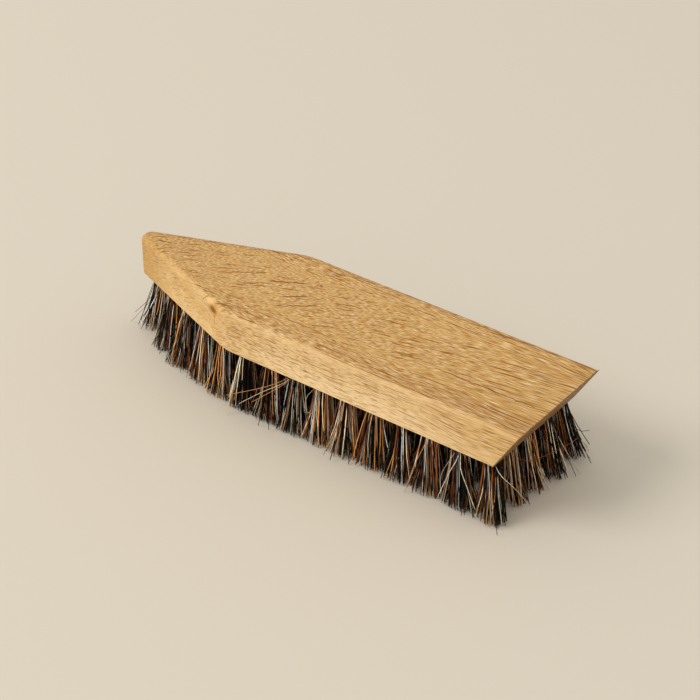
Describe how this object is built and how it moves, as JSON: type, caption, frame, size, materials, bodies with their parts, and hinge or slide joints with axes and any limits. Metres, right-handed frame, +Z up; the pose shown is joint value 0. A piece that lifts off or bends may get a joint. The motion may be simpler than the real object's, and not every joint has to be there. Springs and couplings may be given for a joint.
{
  "type": "shoe brush",
  "caption": "Shoe brush with a flat wooden back that tapers to a rounded nose, an undercut scraping end and fanned tufts of stiff mixed bristle.",
  "frame": {"origin": "on the plane of the bristle tips, below the middle of the brush", "axes": "+X runs along the brush from the nose to the wide scraping end, +Y to one side, +Z up out of the flat top"},
  "size_m": [0.1748, 0.0532, 0.037],
  "materials": {
    "oiled_oak": "oiled oak, satin, grain along the length, softened edges",
    "mixed_bristle": "stiff natural bristle, mixed black, brown, red-brown, cream and grey, slightly glossy"
  },
  "bodies": {
    "root": {"oak_back": "oiled_oak", "bristle_tuft_01": "mixed_bristle", "bristle_tuft_02": "mixed_bristle", "bristle_tuft_03": "mixed_bristle", "bristle_tuft_04": "mixed_bristle", "bristle_tuft_05": "mixed_bristle", "bristle_tuft_06": "mixed_bristle", "bristle_tuft_07": "mixed_bristle", "bristle_tuft_08": "mixed_bristle", "bristle_tuft_09": "mixed_bristle", "bristle_tuft_10": "mixed_bristle", "bristle_tuft_11": "mixed_bristle", "bristle_tuft_12": "mixed_bristle", "bristle_tuft_13": "mixed_bristle", "bristle_tuft_14": "mixed_bristle", "bristle_tuft_15": "mixed_bristle", "bristle_tuft_16": "mixed_bristle", "bristle_tuft_17": "mixed_bristle", "bristle_tuft_18": "mixed_bristle", "bristle_tuft_19": "mixed_bristle", "bristle_tuft_20": "mixed_bristle", "bristle_tuft_21": "mixed_bristle", "bristle_tuft_22": "mixed_bristle", "bristle_tuft_23": "mixed_bristle", "bristle_tuft_24": "mixed_bristle", "bristle_tuft_25": "mixed_bristle", "bristle_tuft_26": "mixed_bristle", "bristle_tuft_27": "mixed_bristle", "bristle_tuft_28": "mixed_bristle", "bristle_tuft_29": "mixed_bristle", "bristle_tuft_30": "mixed_bristle", "bristle_tuft_31": "mixed_bristle", "bristle_tuft_32": "mixed_bristle", "bristle_tuft_33": "mixed_bristle", "bristle_tuft_34": "mixed_bristle", "bristle_tuft_35": "mixed_bristle", "bristle_tuft_36": "mixed_bristle", "bristle_tuft_37": "mixed_bristle", "bristle_tuft_38": "mixed_bristle", "bristle_tuft_39": "mixed_bristle", "bristle_tuft_40": "mixed_bristle", "bristle_tuft_41": "mixed_bristle", "bristle_tuft_42": "mixed_bristle", "bristle_tuft_43": "mixed_bristle", "bristle_tuft_44": "mixed_bristle", "bristle_tuft_45": "mixed_bristle", "bristle_tuft_46": "mixed_bristle", "bristle_tuft_47": "mixed_bristle", "bristle_tuft_48": "mixed_bristle", "bristle_tuft_49": "mixed_bristle", "bristle_tuft_50": "mixed_bristle", "bristle_tuft_51": "mixed_bristle", "bristle_tuft_52": "mixed_bristle", "bristle_tuft_53": "mixed_bristle", "bristle_tuft_54": "mixed_bristle", "bristle_tuft_55": "mixed_bristle", "bristle_tuft_56": "mixed_bristle", "bristle_tuft_57": "mixed_bristle", "bristle_tuft_58": "mixed_bristle", "bristle_tuft_59": "mixed_bristle"}
  },
  "joints": []
}
